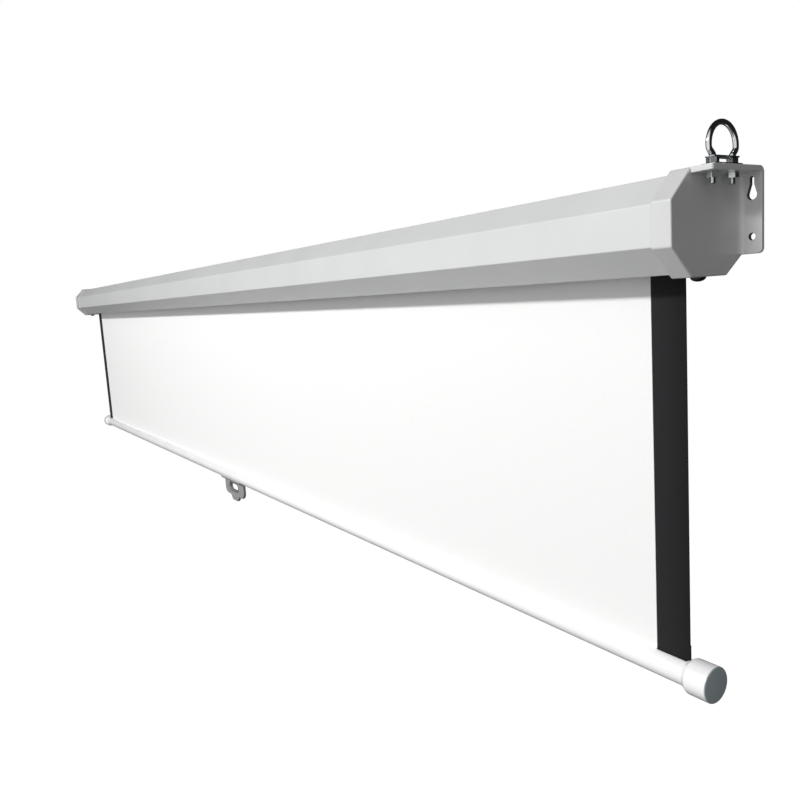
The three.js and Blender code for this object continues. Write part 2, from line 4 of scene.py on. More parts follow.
import bmesh
import bpy
import numpy as np
from mathutils import Matrix, Vector
from mathutils.geometry import tessellate_polygon


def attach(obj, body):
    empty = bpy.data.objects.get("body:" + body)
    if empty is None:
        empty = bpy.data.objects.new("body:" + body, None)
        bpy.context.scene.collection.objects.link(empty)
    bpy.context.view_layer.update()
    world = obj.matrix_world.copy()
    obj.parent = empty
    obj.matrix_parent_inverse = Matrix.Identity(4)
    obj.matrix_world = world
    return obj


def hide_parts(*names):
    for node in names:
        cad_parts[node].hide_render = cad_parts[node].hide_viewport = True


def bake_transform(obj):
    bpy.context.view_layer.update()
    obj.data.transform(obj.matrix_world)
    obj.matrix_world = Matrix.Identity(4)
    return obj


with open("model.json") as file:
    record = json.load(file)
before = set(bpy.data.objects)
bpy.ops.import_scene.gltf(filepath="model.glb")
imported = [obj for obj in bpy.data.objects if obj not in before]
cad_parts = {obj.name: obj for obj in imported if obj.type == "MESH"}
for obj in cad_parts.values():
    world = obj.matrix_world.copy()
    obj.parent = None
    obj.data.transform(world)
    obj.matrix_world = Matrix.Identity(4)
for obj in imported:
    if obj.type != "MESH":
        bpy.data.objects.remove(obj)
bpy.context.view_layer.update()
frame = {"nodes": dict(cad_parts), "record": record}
scene = bpy.context.scene
mm = 0.001  # every length below is in millimetres unless it says metres

# Camera: place in metres, turns in radians
view = {
    "place": (1.4413, -0.5656, -0.0364),
    "yaw": -1.019,
    "pitch": -0.134,
    "roll": -0.068,
    "lens": 34.39,
    "shift": (0.0281, -0.0031),
}


def aimCamera():
    # ahead follows yaw and pitch; the side and the top turn about it by the roll
    yaw, pitch, roll = view["yaw"], view["pitch"], view["roll"]
    ahead = Vector((math.sin(yaw) * math.cos(pitch), math.cos(yaw) * math.cos(pitch), math.sin(pitch)))
    level = Vector((math.cos(yaw), -math.sin(yaw), 0))
    upright = level.cross(ahead)
    side = math.cos(roll) * level + math.sin(roll) * upright
    top = math.cos(roll) * upright - math.sin(roll) * level
    camera = bpy.data.objects.new("photo_camera", bpy.data.cameras.new("photo_camera"))
    scene.collection.objects.link(camera)
    camera.data.lens = view["lens"]
    camera.data.shift_x, camera.data.shift_y = view["shift"]
    camera.data.clip_start, camera.data.clip_end = 0.02, 60
    turn = Matrix((side, top, -ahead)).transposed()
    camera.matrix_world = Matrix.Translation(view["place"]) @ turn.to_4x4()
    scene.camera = camera


aimCamera()
print("camera set")

# Studio: a white room that is brighter in front of the screen and above it, a soft lamp high in front
# and a wider, weaker one behind
studio = {
    "dimmest": 0.095,
    "front": 0.72,
    "back": 0.35,
    "tilt": 0.42,
    "toward": (0.25, -0.968, 0.0),
    "shine": (0.015, 1.0),
    "shineFrom": (0.25, 0.75),
    "lamps": {
        "soft_lamp": {"from": (0.32, -2.5, 1.3), "at": (0.32, -0.03, -0.1), "size": (1.6, 0.25),
                      "power": 69, "glossy": True},
        "back_lamp": {"from": (-0.6, 2.6, -0.1), "at": (0.0, 0.0, -0.1), "size": (1.6, 1.0),
                      "power": 36, "glossy": False},
    },
    "floorDrop": 6.0,
    "floorSize": 30,
}


def nodeOf(tree, kind, **sockets):
    # A shader node with the named sockets or properties set.
    node = tree.nodes.new(kind)
    for name, value in sockets.items():
        if hasattr(node, name) and name not in node.inputs:
            setattr(node, name, value)
        else:
            node.inputs[name].default_value = value
    return node


def rangeNode(tree, spans, **more):
    # Turns the first span of values into the second one.
    node = nodeOf(tree, "ShaderNodeMapRange", **more)
    for socket, value in zip(("From Min", "From Max", "To Min", "To Max"), spans):
        node.inputs[socket].default_value = value
    return node


def mathNode(tree, operation, *values, **more):
    # A sum or product of numbers and of other nodes' outputs.
    node = nodeOf(tree, "ShaderNodeMath", operation=operation, **more)
    for socket, value in zip(node.inputs, values):
        if isinstance(value, (int, float)):
            socket.default_value = value
        else:
            tree.links.new(value, socket)
    return node.outputs[0]


def paintRoom():
    # Surfaces are lit by (dimmest + facing squared x front or back) x (1 + tilt x height), where facing is
    # how far a direction points toward the front. Gloss sees a room that is bright ahead and dark elsewhere,
    # and the camera sees plain white.
    scene.view_settings.view_transform = "Standard"
    scene.world = bpy.data.worlds.new("studio")
    scene.world.use_nodes = True
    tree = scene.world.node_tree
    tree.nodes.clear()
    link = tree.links.new
    where, split = tree.nodes.new("ShaderNodeTexCoord"), tree.nodes.new("ShaderNodeSeparateXYZ")
    link(where.outputs["Generated"], split.inputs[0])
    facing = nodeOf(tree, "ShaderNodeVectorMath", operation="DOT_PRODUCT")
    facing.inputs[1].default_value = studio["toward"]
    link(where.outputs["Generated"], facing.inputs[0])
    side = facing.outputs["Value"]
    strong = rangeNode(tree, (-0.01, 0.01, studio["back"], studio["front"]))
    link(side, strong.inputs["Value"])
    square = mathNode(tree, "MULTIPLY", side, side)
    bright = mathNode(tree, "MULTIPLY_ADD", square, strong.outputs["Result"], studio["dimmest"])
    upward = mathNode(tree, "MULTIPLY_ADD", split.outputs["Z"], studio["tilt"], 1)
    ahead = mathNode(tree, "MULTIPLY", split.outputs["Y"], -1, use_clamp=True)
    shine = rangeNode(tree, (*studio["shineFrom"], *studio["shine"]), interpolation_type="SMOOTHSTEP")
    link(ahead, shine.inputs["Value"])
    path, choice = tree.nodes.new("ShaderNodeLightPath"), nodeOf(tree, "ShaderNodeMix", data_type="FLOAT")
    link(path.outputs["Is Glossy Ray"], choice.inputs["Factor"])
    link(mathNode(tree, "MULTIPLY", bright, upward), choice.inputs[2])
    link(shine.outputs["Result"], choice.inputs[3])
    lit, seen = tree.nodes.new("ShaderNodeBackground"), tree.nodes.new("ShaderNodeBackground")
    lit.inputs["Color"].default_value = seen.inputs["Color"].default_value = (1, 1, 1, 1)
    link(choice.outputs[0], lit.inputs["Strength"])
    mix, out = tree.nodes.new("ShaderNodeMixShader"), tree.nodes.new("ShaderNodeOutputWorld")
    link(path.outputs["Is Camera Ray"], mix.inputs[0])
    link(lit.outputs[0], mix.inputs[1])
    link(seen.outputs[0], mix.inputs[2])
    link(mix.outputs[0], out.inputs[0])


def hangLamp(name, use):
    lamp = bpy.data.lights.new(name, "AREA")
    lamp.shape, lamp.energy = "RECTANGLE", use["power"]
    lamp.size, lamp.size_y = use["size"]
    holder = bpy.data.objects.new(name, lamp)
    scene.collection.objects.link(holder)
    holder.location = use["from"]
    toward = Vector(use["at"]) - Vector(use["from"])
    holder.rotation_euler = toward.to_track_quat("-Z", "Y").to_euler()
    holder.visible_glossy = use["glossy"]


def layFloor():
    # The floor is as white as the room and throws no light, so the part seems to hang in the open.
    half, low = studio["floorSize"] / 2, -studio["floorDrop"]
    flat = bpy.data.meshes.new("floor")
    corners = [(-half, -half, low), (half, -half, low), (half, half, low), (-half, half, low)]
    flat.from_pydata(corners, [], [(0, 1, 2, 3)])
    floor = bpy.data.objects.new("floor", flat)
    scene.collection.objects.link(floor)
    pale = bpy.data.materials.new("pale_floor")
    pale.use_nodes = True
    shader = pale.node_tree.nodes["Principled BSDF"]
    shader.inputs["Base Color"].default_value = (0.1, 0.1, 0.1, 1)
    shader.inputs["Roughness"].default_value = 0.9
    shader.inputs["Emission Color"].default_value = (1, 1, 1, 1)
    shader.inputs["Emission Strength"].default_value = 1.0
    flat.materials.append(pale)
    floor.visible_diffuse = floor.visible_glossy = floor.visible_shadow = False


paintRoom()
for name, use in studio["lamps"].items():
    hangLamp(name, use)
layFloor()
print("studio lit")


# Finishes. Tones are linear; patch, grain and relief are the sizes of two noises and the height of one, in mm.
looks = {
    "casePaint": {"tones": ((0.63, 0.636, 0.638), (0.655, 0.66, 0.66)), "rough": (0.36, 0.44), "patch": 60,
                  "grain": 0.9, "relief": 0.012, "coat": 0.45},
    "bracketPaint": {"tones": ((0.60, 0.605, 0.605), (0.63, 0.633, 0.63)), "rough": (0.4, 0.5), "patch": 25,
                     "grain": 0.8, "relief": 0.014, "coat": 0.6},
    # painted shade: a dark tone for the walls inside the brackets' keyholes and pin holes
    "holeWallShade": {"tones": ((0.10, 0.10, 0.10), (0.16, 0.16, 0.155)), "rough": (0.4, 0.55), "patch": 3,
                 "grain": 0.4, "relief": 0.006, "metal": 0.4},
    "barPaint": {"tones": ((0.90, 0.90, 0.905), (0.93, 0.93, 0.93)), "rough": (0.28, 0.36), "patch": 40,
                 "grain": 0.8, "relief": 0.008, "coat": 0.4},
    "whitePlastic": {"tones": ((0.90, 0.90, 0.905), (0.93, 0.93, 0.93)), "rough": (0.3, 0.4), "patch": 12,
                     "grain": 0.5, "relief": 0.006, "coat": 0.9},
    # painted shade: the white caps' end faces, turned away from the lamp, are tinted a darker grey
    "capFaceShade": {"tones": ((0.38, 0.445, 0.462), (0.42, 0.487, 0.504)), "rough": (0.4, 0.5), "patch": 8,
                "grain": 0.5, "relief": 0.008, "coat": 0.3},
    "greyPlastic": {"tones": ((0.285, 0.29, 0.292), (0.325, 0.328, 0.33)), "rough": (0.42, 0.52), "patch": 10,
                    "grain": 0.35, "relief": 0.012, "coat": 0.8},
    "darkRim": {"tones": ((0.10, 0.103, 0.105), (0.125, 0.128, 0.13)), "rough": (0.4, 0.5), "patch": 8,
                "grain": 0.35, "relief": 0.01, "coat": 0.3},
    "darkPlastic": {"tones": ((0.035, 0.038, 0.042), (0.05, 0.052, 0.056)), "rough": (0.45, 0.6), "patch": 8,
                    "grain": 0.4, "relief": 0.01},
    "ivoryPlastic": {"tones": ((0.68, 0.64, 0.54), (0.74, 0.70, 0.60)), "rough": (0.4, 0.5), "patch": 8,
                     "grain": 0.4, "relief": 0.006},
    "chrome": {"tones": ((0.66, 0.67, 0.69), (0.74, 0.75, 0.76)), "rough": (0.05, 0.12), "patch": 6,
               "grain": 1.5, "relief": 0.004, "metal": 1},
    "zinc": {"tones": ((0.52, 0.54, 0.56), (0.68, 0.69, 0.70)), "rough": (0.22, 0.4), "patch": 3,
             "grain": 0.35, "relief": 0.006, "metal": 1},
    "dullZinc": {"tones": ((0.20, 0.21, 0.22), (0.30, 0.31, 0.315)), "rough": (0.28, 0.42), "patch": 3,
                 "grain": 0.35, "relief": 0.006, "metal": 1},
    "blackSteel": {"tones": ((0.012, 0.018, 0.017), (0.03, 0.04, 0.036)), "rough": (0.3, 0.45), "patch": 4,
                   "grain": 0.3, "relief": 0.006, "metal": 0.6},
    "steel": {"tones": ((0.36, 0.37, 0.38), (0.48, 0.49, 0.50)), "rough": (0.3, 0.45), "patch": 5,
              "grain": 0.4, "relief": 0.006, "metal": 1, "drawn": 30},
    "springSteel": {"tones": ((0.12, 0.13, 0.15), (0.2, 0.21, 0.22)), "rough": (0.3, 0.42), "patch": 3,
                    "grain": 0.3, "relief": 0.004, "metal": 1},
}
noiseSpan = (0.3, 0.7)  # a noise's middle values, which take up the whole range of tones


def madeFinish(name, look):
    # Two tones and the roughness drift with one soft noise, and a finer noise gives the relief.
    finish = bpy.data.materials.new(name)
    finish.use_nodes = True
    tree = finish.node_tree
    shader = tree.nodes["Principled BSDF"]
    shader.inputs["Metallic"].default_value = look.get("metal", 0)
    shader.inputs["Coat Weight"].default_value = look.get("coat", 0)
    shader.inputs["Coat Roughness"].default_value = 0.2
    where = tree.nodes.new("ShaderNodeTexCoord")
    stretch = tree.nodes.new("ShaderNodeMapping")
    stretch.inputs["Scale"].default_value = (1 / look.get("drawn", 1), 1, 1)
    patch = nodeOf(tree, "ShaderNodeTexNoise", Scale=1 / (look["patch"] * mm), Detail=3.0, Roughness=0.55)
    grain = nodeOf(tree, "ShaderNodeTexNoise", Scale=1 / (look["grain"] * mm), Detail=2.0, Roughness=0.5)
    tone, dull = tree.nodes.new("ShaderNodeValToRGB"), rangeNode(tree, (*noiseSpan, *look["rough"]))
    for stop, place, colour in zip(tone.color_ramp.elements, noiseSpan, look["tones"]):
        stop.position, stop.color = place, (*colour, 1)
    bump = nodeOf(tree, "ShaderNodeBump", Strength=1.0, Distance=look["relief"] * mm)
    link = tree.links.new
    link(where.outputs["Object"], stretch.inputs["Vector"])
    for noise in (patch, grain):
        link(stretch.outputs["Vector"], noise.inputs["Vector"])
    link(patch.outputs["Fac"], tone.inputs["Fac"])
    link(patch.outputs["Fac"], dull.inputs["Value"])
    link(grain.outputs["Fac"], bump.inputs["Height"])
    link(tone.outputs["Color"], shader.inputs["Base Color"])
    link(dull.outputs["Result"], shader.inputs["Roughness"])
    link(bump.outputs["Normal"], shader.inputs["Normal"])
    return finish


finishes = {name: madeFinish(f"{name}Finish", look) for name, look in looks.items()}

# Screen fabric: a white matte coat on a glass fibre weave, black borders, and a black back
cloth = {
    "white": (0.88, 0.88, 0.875),
    "black": (0.0125, 0.0112, 0.0128),
    "borderFrom": 1016.0,
    "borderBlur": 0.6,
    "thread": 0.5,
    "relief": 0.02,
    "fleck": 3.0,
    "rough": {"white": 0.85, "black": 0.6},
    "specular": {"white": 0.3, "black": 0.15},
}


def clothFinish(name, side):
    # Threads are two crossed sine waves along X and Z; the white side turns black beyond borderFrom.
    finish = bpy.data.materials.new(name)
    finish.use_nodes = True
    tree = finish.node_tree
    shader = tree.nodes["Principled BSDF"]
    shader.inputs["Roughness"].default_value = cloth["rough"][side]
    shader.inputs["Specular IOR Level"].default_value = cloth["specular"][side]
    where, split = tree.nodes.new("ShaderNodeTexCoord"), tree.nodes.new("ShaderNodeSeparateXYZ")
    link = tree.links.new
    link(where.outputs["Object"], split.inputs[0])
    turn = math.pi / (cloth["thread"] * mm)
    waves = [mathNode(tree, "SINE", mathNode(tree, "MULTIPLY", split.outputs[axis], turn)) for axis in "XZ"]
    bump = nodeOf(tree, "ShaderNodeBump", Strength=1.0, Distance=cloth["relief"] * mm)
    link(mathNode(tree, "MULTIPLY", *waves), bump.inputs["Height"])
    link(bump.outputs["Normal"], shader.inputs["Normal"])
    fleck = nodeOf(tree, "ShaderNodeTexNoise", Scale=1 / (cloth["fleck"] * mm), Detail=3.0)
    link(where.outputs["Object"], fleck.inputs["Vector"])
    tint = tree.nodes.new("ShaderNodeValToRGB")
    for stop, share in zip(tint.color_ramp.elements, (0.98, 1.02)):
        stop.color = (*[share * part for part in cloth[side]], 1)
    link(fleck.outputs["Fac"], tint.inputs["Fac"])
    if side == "black":
        link(tint.outputs["Color"], shader.inputs["Base Color"])
        return finish
    start, blur = cloth["borderFrom"] * mm, cloth["borderBlur"] * mm
    edge = rangeNode(tree, (start - blur / 2, start + blur / 2, 0, 1))
    link(mathNode(tree, "ABSOLUTE", split.outputs["X"]), edge.inputs["Value"])
    mix = nodeOf(tree, "ShaderNodeMix", data_type="RGBA")
    link(edge.outputs["Result"], mix.inputs["Factor"])
    # sockets 6 and 7 are the two colours, and output 2 is their mixture
    link(tint.outputs["Color"], mix.inputs[6])
    mix.inputs[7].default_value = (*cloth["black"], 1)
    link(mix.outputs[2], shader.inputs["Base Color"])
    return finish


finishes["clothFront"] = clothFinish("clothFrontFinish", "white")
finishes["clothBack"] = clothFinish("clothBackFinish", "black")
ends = ((1, "right"), (-1, "left"))  # side along X and name of both ends
print("finishes mixed")


# Surfaces. A shell is its points and its faces; every shell is closed.
def arcs(corners, inset=0.0, steps=6):
    # Each corner (u, v, radius) of an anticlockwise line becomes an arc that touches both its sides.
    # The inset moves the whole line inwards: outer corners lose that much radius and hollow ones gain it.
    spot, radius = np.hsplit(np.asarray(corners, float), [2])
    back, ahead = np.roll(spot, 1, 0) - spot, np.roll(spot, -1, 0) - spot
    back /= np.linalg.norm(back, axis=1, keepdims=True)
    ahead /= np.linalg.norm(ahead, axis=1, keepdims=True)
    half = np.arccos(np.clip((back * ahead).sum(1, keepdims=True), -1, 1)) / 2
    turn = np.sign(ahead[:, :1] * back[:, 1:] - ahead[:, 1:] * back[:, :1])
    inward = (back + ahead) / np.linalg.norm(back + ahead, axis=1, keepdims=True)
    middle = spot + inward * radius / np.sin(half)
    first = spot + back * radius / np.tan(half) - middle
    angle = np.arctan2(first[:, 1:], first[:, :1]) + turn * (np.pi - 2 * half) * np.linspace(0, 1, steps + 1)
    reach = radius - turn * inset
    line = np.stack([middle[:, :1] + reach * np.cos(angle), middle[:, 1:] + reach * np.sin(angle)], -1)
    line = line.reshape(-1, 2)
    return line[np.linalg.norm(line - np.roll(line, 1, 0), axis=1) > 1e-6]


def boxed(u, v, width, height, radius):
    # The four corners of a rectangle about (u, v), for arcs.
    a, b = width / 2, height / 2
    return [(u - a, v - b, radius), (u + a, v - b, radius), (u + a, v + b, radius), (u - a, v + b, radius)]


def roundHole(u, v, radius):
    return boxed(u, v, 2 * radius, 2 * radius, radius)


def lay(line, height, along):
    # Points (u, v) at a height along X, Y or Z as (x, y, z).
    u, v = line[..., 0], line[..., 1]
    height = np.broadcast_to(height, u.shape)
    return np.stack({"x": (height, u, v), "y": (u, height, v), "z": (u, v, height)}[along], -1)


def skin(points, closedRows=False, closedColumns=True):
    # Neighbours in a grid of points share a four-sided face; a closed grid meets itself again.
    rows, columns = points.shape[:2]
    index = np.arange(rows * columns).reshape(rows, columns)
    index = np.vstack([index, index[:1]]) if closedRows else index
    index = np.hstack([index, index[:, :1]]) if closedColumns else index
    quads = np.stack([index[:-1, :-1], index[:-1, 1:], index[1:, 1:], index[1:, :-1]], -1)
    return points.reshape(-1, 3), quads.reshape(-1, 4).tolist()


def lid(points, loops):
    # Triangles that fill the first loop of point numbers, apart from the loops inside it.
    order = np.concatenate(loops)
    flat = [[Vector(point) for point in points[loop]] for loop in loops]
    return order[np.array(tessellate_polygon(flat))].tolist()


def capped(points):
    # A grid that closes round its columns, with a flat lid on its first and last rows.
    flat, faces = skin(points)
    rows, columns = points.shape[:2]
    first, last = np.arange(columns), np.arange((rows - 1) * columns, rows * columns)
    return flat, faces + lid(flat, [first]) + lid(flat, [last])


def together(*shells):
    starts = np.cumsum([0] + [len(points) for points, _ in shells])
    faces = [[i + int(start) for i in face] for (_, part), start in zip(shells, starts) for face in part]
    return np.concatenate([points for points, _ in shells]), faces


def softEdge(low, high, radius, steps=4):
    # (inset, height) from the low face to the high one, with a quarter circle at each edge.
    turn = np.linspace(0, np.pi / 2, steps + 1)
    inset, rise = radius * (1 - np.sin(turn)), radius * (1 - np.cos(turn))
    return np.concatenate([np.stack([inset, low + rise], 1), np.stack([inset, high - rise], 1)[::-1]])


def slab(corners, low, high, along, edge=0.3, holes=(), holeEdge=0.2, steps=6):
    # A flat plate: its outline goes from face to face along the soft edge, and so does each hole.
    profile = softEdge(low, high, edge)
    walls = [skin(np.stack([lay(arcs(corners, d, steps), h, along) for d, h in profile]))]
    for hole in holes:
        rim = softEdge(low, high, holeEdge)
        walls.append(skin(np.stack([lay(arcs(hole, -d, steps), h, along) for d, h in rim])))
    points, faces = together(*walls)
    starts = np.cumsum([0] + [len(wall[0]) for wall in walls])
    counts = [len(arcs(line, 0, steps)) for line in (corners, *holes)]
    faces += lid(points, [np.arange(s, s + n) for s, n in zip(starts, counts)])
    faces += lid(points, [np.arange(s - n, s) for s, n in zip(starts[1:], counts)])
    return points, faces


def turned(profile, along, u, v, columns=64, closed=False):
    # A profile of (radius, place) turned about a line along X, Y or Z through (u, v).
    radius, place = np.asarray(profile, float).T
    angle = np.linspace(0, 2 * np.pi, columns, endpoint=False)
    ring = np.stack([u + radius[:, None] * np.cos(angle), v + radius[:, None] * np.sin(angle)], -1)
    grid = lay(ring, place[:, None], along)
    return skin(grid, closedRows=True) if closed else capped(grid)


def rod(radius, low, high, along, u, v, columns=48):
    return turned([(radius, low), (radius, high)], along, u, v, columns)


def flipped(shell, side):
    # The shell as it is for the right end, or mirrored in X for the left end.
    return (shell[0] * (side, 1, 1), shell[1])


def merged(mesh, outward=False):
    # One vertex where several meet; outward also turns every face of a closed shell to the outside.
    work = bmesh.new()
    work.from_mesh(mesh)
    bmesh.ops.remove_doubles(work, verts=work.verts, dist=1e-7)
    if outward:
        bmesh.ops.recalc_face_normals(work, faces=work.faces)
    work.to_mesh(mesh)
    work.free()
    return mesh


def meshOf(name, shell):
    mesh = bpy.data.meshes.new(name)
    mesh.from_pydata((shell[0] * mm).tolist(), [], shell[1])
    return merged(mesh, True)


def carved(name, base, adds=(), cuts=()):
    # The base shell with the added shells joined to it and the cut ones taken out.
    whole = bpy.data.objects.new(name, meshOf(name, base))
    scene.collection.objects.link(whole)
    helpers = []
    for work, shells in (("UNION", adds), ("DIFFERENCE", cuts)):
        for shell in shells:
            helper = bpy.data.objects.new("helper", meshOf("helper", shell))
            scene.collection.objects.link(helper)
            helpers.append(helper)
            change = whole.modifiers.new("carve", "BOOLEAN")
            change.operation, change.solver, change.object = work, "MANIFOLD", helper
    bpy.context.view_layer.update()
    shaped = whole.evaluated_get(bpy.context.evaluated_depsgraph_get())
    mesh = bpy.data.meshes.new_from_object(shaped)
    for spare in (whole, *helpers):
        bpy.data.objects.remove(spare)
    mesh.name = name
    return mesh


def placed(name, mesh, finish, body, node, crease=32):
    # Adds a finished piece: smooth but for creases, riding on its body in place of its CAD node.
    piece = bpy.data.objects.new(name, mesh)
    scene.collection.objects.link(piece)
    mesh.materials.clear()
    mesh.materials.append(finishes[finish])
    mesh.shade_smooth()
    mesh.set_sharp_from_angle(angle=math.radians(crease))
    weighted = piece.modifiers.new("even_shading", "WEIGHTED_NORMAL")
    weighted.keep_sharp = True
    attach(piece, body)
    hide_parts(node)


def recoloured(mesh, finish, chosen):
    # Gives the finish to the faces that the chooser picks from their centres in mm and their normals.
    centre, normal = np.empty(3 * len(mesh.polygons)), np.empty(3 * len(mesh.polygons))
    mesh.polygons.foreach_get("center", centre)
    mesh.polygons.foreach_get("normal", normal)
    picked = chosen(centre.reshape(-1, 3) / mm, normal.reshape(-1, 3))
    mesh.materials.append(finishes[finish])
    mesh.polygons.foreach_set("material_index", picked.astype(np.int32) * (len(mesh.materials) - 1))


# Case: one folded sheet, open along the bottom, with a hem turned up on both lips
case = {
    "end": 1075.7,
    "corners": [(-21.24, -37.0), (-3.0, -23.32), (-3.0, 23.32), (-21.24, 37.0),
                (-61.76, 37.0), (-83.0, 15.76), (-83.0, -15.76), (-61.76, -37.0)],
    "fold": 1.7,
    "wall": 1.2,
    "lips": (-23.95, -33.95),
    "hem": 6.0,
}


def caseShell():
    # The outer line runs down one hem, round the eight sides and up the other hem; the inner one runs back.
    rear, front = case["lips"]
    bottom, up = case["corners"][0][1], case["hem"]
    outer = [(rear, bottom + up), (rear, bottom)] + case["corners"] + [(front, bottom), (front, bottom + up)]
    middle = np.array([(y, z, case["fold"]) for y, z in outer[1:-1]])
    # two spare corners at the hems' tips close the line for arcs, and are left out again
    closed = np.vstack([middle, [(front, bottom + up, 0.01), (rear, bottom + up, 0.01)]])
    steps, wall = 6, case["wall"]
    lineOut, lineIn = arcs(closed, 0, steps), arcs(closed, wall, steps)
    kept = slice(0, len(middle) * (steps + 1))
    tips = [(y, bottom + up) for y in (rear, front, front - wall, rear + wall)]
    section = np.vstack([tips[0], lineOut[kept], tips[1], tips[2], lineIn[kept][::-1], tips[3]])
    points = np.stack([lay(section, x, "x") for x in (-case["end"], case["end"])])
    mesh = meshOf("case_sheet", capped(points))
    placed("case_sheet", mesh, "casePaint", "case", "case_shell")


caseShell()
print("case folded")

# End brackets: a plate and a sleeve, one bent sheet for both flanges, and a boss for the roller
bracket = {
    "corners": [(-63.0, -40.0), (-20.0, -40.0), (0.0, -25.0), (0.0, 25.0),
                (-20.0, 40.0), (-63.0, 40.0), (-86.0, 17.0), (-86.0, -17.0)],
    "round": 3.0,
    "plate": (1076.0, 1080.0),
    "plateEdge": 1.4,
    "sleeve": (1062.0, 1078.0),
    "wall": 2.7,
    "lip": 0.9,
    "flange": (1077.0, 1098.0),
    "thick": (4.5, 3.5),
    "bend": 5.0,
    "corner": (2.0, 4.0),
    "flangeEdge": 0.8,
    "fillet": 5.0,
    "filletTop": 37.0,
    "holeEdge": 0.25,
    "keyhole": {"x": 1090.0, "z": 19.4, "radius": 3.9, "neck": 3.2, "shoulder": 7.8, "rise": 13.4},
    "pinHole": {"x": 1090.0, "z": -12.0, "radius": 2.7},
    "boss": {"radius": 12.0, "from": 1067.0, "y": -51.0, "tongue": (3.6, 9.6), "bush": 6.3, "deep": 8.3},
    "screw": {"x": 1071.0, "y": -43.0, "radius": 2.3, "through": (-41.0, -36.0)},
    "legHole": 2.8,
}
loop = {
    "x": 1089.0,
    "legs": (-50.2, -26.6),
    "rod": 2.5,
    "bow": 2.15,
    "ring": 16.25,
    "ringAt": 54.8,
    "sweep": 196.0,
    "foot": 26.6,
    "footTaper": 0.7,
    "shoulder": 46.9,
    "pull": 5.0,
    "thinOver": 6.0,
    "threadTo": 45.4,
    "pitch": 0.8,
    "thread": 0.42,
    "lowNuts": (31.2, 35.48),
    "basePlate": (12.0, 34.0, 40.02, 41.3),
    "topNuts": (41.3, 45.6),
    "strap": (9.0, 31.2, 45.6, 46.6),
    "plateRound": 2.0,
    "acrossFlats": 8.0,
    "nutChamfer": 0.36,
    "nutBore": 2.45,
    "nutSink": 0.5,
    "nutTurns": {"top_nut_front": 0.3, "top_nut_rear": -0.1, "low_nut_front": 0.1, "low_nut_rear": 0.55},
}


def prism(corners, low, high, along, flare=0.0):
    # A straight cutter with the given outline; the flare opens it at both faces to break the hole's edge.
    steps = [(0, low), (0, high)]
    if flare > 0:
        steps = [(-1 - flare, low - 1), (-flare, low), (0, low + flare),
                 (0, high - flare), (-flare, high), (-1 - flare, high + 1)]
    return capped(np.stack([lay(arcs(corners, d), h, along) for d, h in steps]))


def sleeveShell():
    # The outline goes along X and turns in at the lip, over a quarter circle outside and another inside.
    # It stays 0.02 mm inside the plate's outline, so that no faces lie in one plane.
    turn = np.linspace(0, np.pi / 2, 7)
    (low, high), lip = bracket["sleeve"], bracket["lip"]
    inner = bracket["wall"] - lip
    outside = np.stack([lip - lip * np.cos(turn), low + lip - lip * np.sin(turn)], 1)
    inside = np.stack([lip + inner * np.sin(turn), low + inner - inner * np.cos(turn)], 1)
    profile = np.vstack([[(0.0, high)], outside, inside[1:], [(bracket["wall"], high)]])
    profile[:, 0] += 0.02
    corners = [(*corner, bracket["round"]) for corner in bracket["corners"]]
    return skin(np.stack([lay(arcs(corners, d), x, "x") for d, x in profile]), closedRows=True)


def flangeShell():
    # One bent sheet: s runs back along the top, round the bend and down the wall.
    # Each row is the sheet's section, drawn in where s nears a free end, so corners and edges are round.
    inner, outer = bracket["flange"]
    edge, bend = bracket["flangeEdge"], bracket["bend"]
    front, top, foot = bracket["corners"][5][0], bracket["corners"][5][1], bracket["corners"][2][1]
    flat, curve = -bend - front, bend * np.pi / 2
    whole = flat + curve + top - bend - foot
    turn = 1 - np.cos(np.linspace(0, np.pi / 2, 7))
    ends = [edge * turn, bracket["corner"][0] * turn, whole - edge * turn, whole - bracket["corner"][1] * turn]
    s = np.unique(np.round(np.concatenate([*ends, flat + curve * np.linspace(0, 1, 13)]), 5))[:, None]
    near = np.minimum(s, whole - s)
    corner = np.where(s < whole / 2, *bracket["corner"])
    short = corner - np.sqrt(np.maximum(corner ** 2 - np.maximum(corner - near, 0) ** 2, 0))
    thin = edge - np.sqrt(np.maximum(edge ** 2 - np.maximum(edge - near, 0) ** 2, 0))
    thick = np.interp(s, [flat, flat + curve], bracket["thick"])
    quarter = np.linspace(0, np.pi / 2, 5)[None]
    far = outer - short
    blank = np.ones_like(s)
    reach = far - edge
    x = np.hstack([inner * blank, reach + edge * np.sin(quarter), reach + edge * np.cos(quarter), inner * blank])
    h = np.hstack([0 * blank, edge - edge * np.cos(quarter) + 0 * s, thick - edge + edge * np.sin(quarter), thick])
    h = thin + (thick - 2 * thin) * h / thick
    angle = np.clip((s - flat) / bend, 0, np.pi / 2)
    y = -bend + (bend - h) * np.sin(angle) + np.minimum(s - flat, 0)
    z = top - bend + (bend - h) * np.cos(angle) - np.maximum(s - flat - curve, 0)
    return capped(np.stack([x, y, z], -1))


def filletShell():
    # The hollow corner between the plate and the wall flange: a quarter circle seen from above, carried up.
    x, y, radius = bracket["plate"][1], -bracket["thick"][1], bracket["fillet"]
    angle = np.linspace(np.pi, np.pi / 2, 13)
    curve = np.stack([x + radius + radius * np.cos(angle), y - radius + radius * np.sin(angle)], 1)
    section = np.vstack([[(x - 1, y + 1), (x - 1, y - radius)], curve, [(x + radius, y + 1)]])
    heights = (bracket["corners"][2][1] + 0.4, bracket["filletTop"])
    return capped(np.stack([lay(section, z, "z") for z in heights]))


